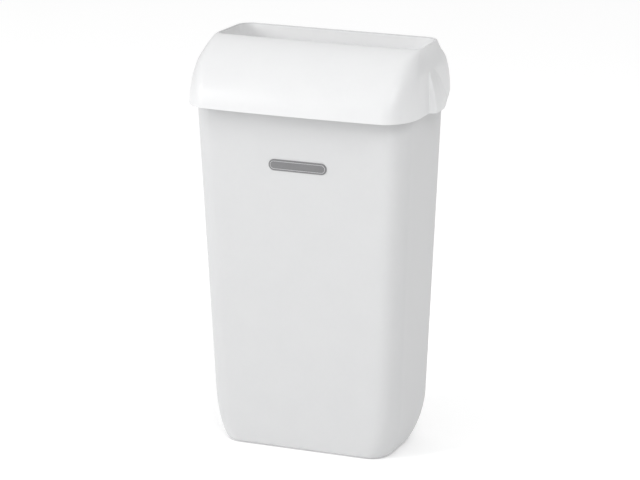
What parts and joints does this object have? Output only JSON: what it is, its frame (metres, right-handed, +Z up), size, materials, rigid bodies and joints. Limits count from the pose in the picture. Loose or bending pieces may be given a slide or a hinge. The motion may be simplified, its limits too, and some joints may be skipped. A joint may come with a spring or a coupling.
{
  "type": "hooded waste bin",
  "caption": "White plastic washroom waste bin: a tapered tub with a lift-off hood lid open at the top, finger grips at the sides and an inner bag ring.",
  "frame": {"origin": "on the floor under the middle of the overall box", "axes": "+Z up, -Y towards the front with the name plate, +X to the right of someone facing the front"},
  "size_m": [0.347, 0.184, 0.567],
  "materials": {
    "white_tub": "satin moulded",
    "white_hood": "satin gloss moulded",
    "white_ring": "fine matt moulded",
    "grey_plate": "satin printed",
    "zinc_steel": "zinc plated",
    "grey_rubber": "matt"
  },
  "bodies": {
    "tub": {"bin_body": "white_tub", "name_plate": "grey_plate", "foot_pad_front_left": "grey_rubber", "foot_pad_front_right": "grey_rubber", "foot_pad_rear_left": "grey_rubber", "foot_pad_rear_right": "grey_rubber"},
    "ring": {"bag_ring": "white_ring"},
    "lid": {"hood_lid": "white_hood"},
    "hook": {"wall_hook": "zinc_steel"}
  },
  "joints": [
    {"name": "ring_lift", "type": "slide", "parent": "tub", "child": "ring", "axis": [0, 0, 1], "range_m": [0, 0.1]},
    {"name": "lid_lift", "type": "slide", "parent": "ring", "child": "lid", "axis": [0, 0, 1], "range_m": [0, 0.15]},
    {"name": "hook_slide", "type": "slide", "parent": "tub", "child": "hook", "axis": [0, 0, -1], "range_m": [0, 0.012]}
  ]
}
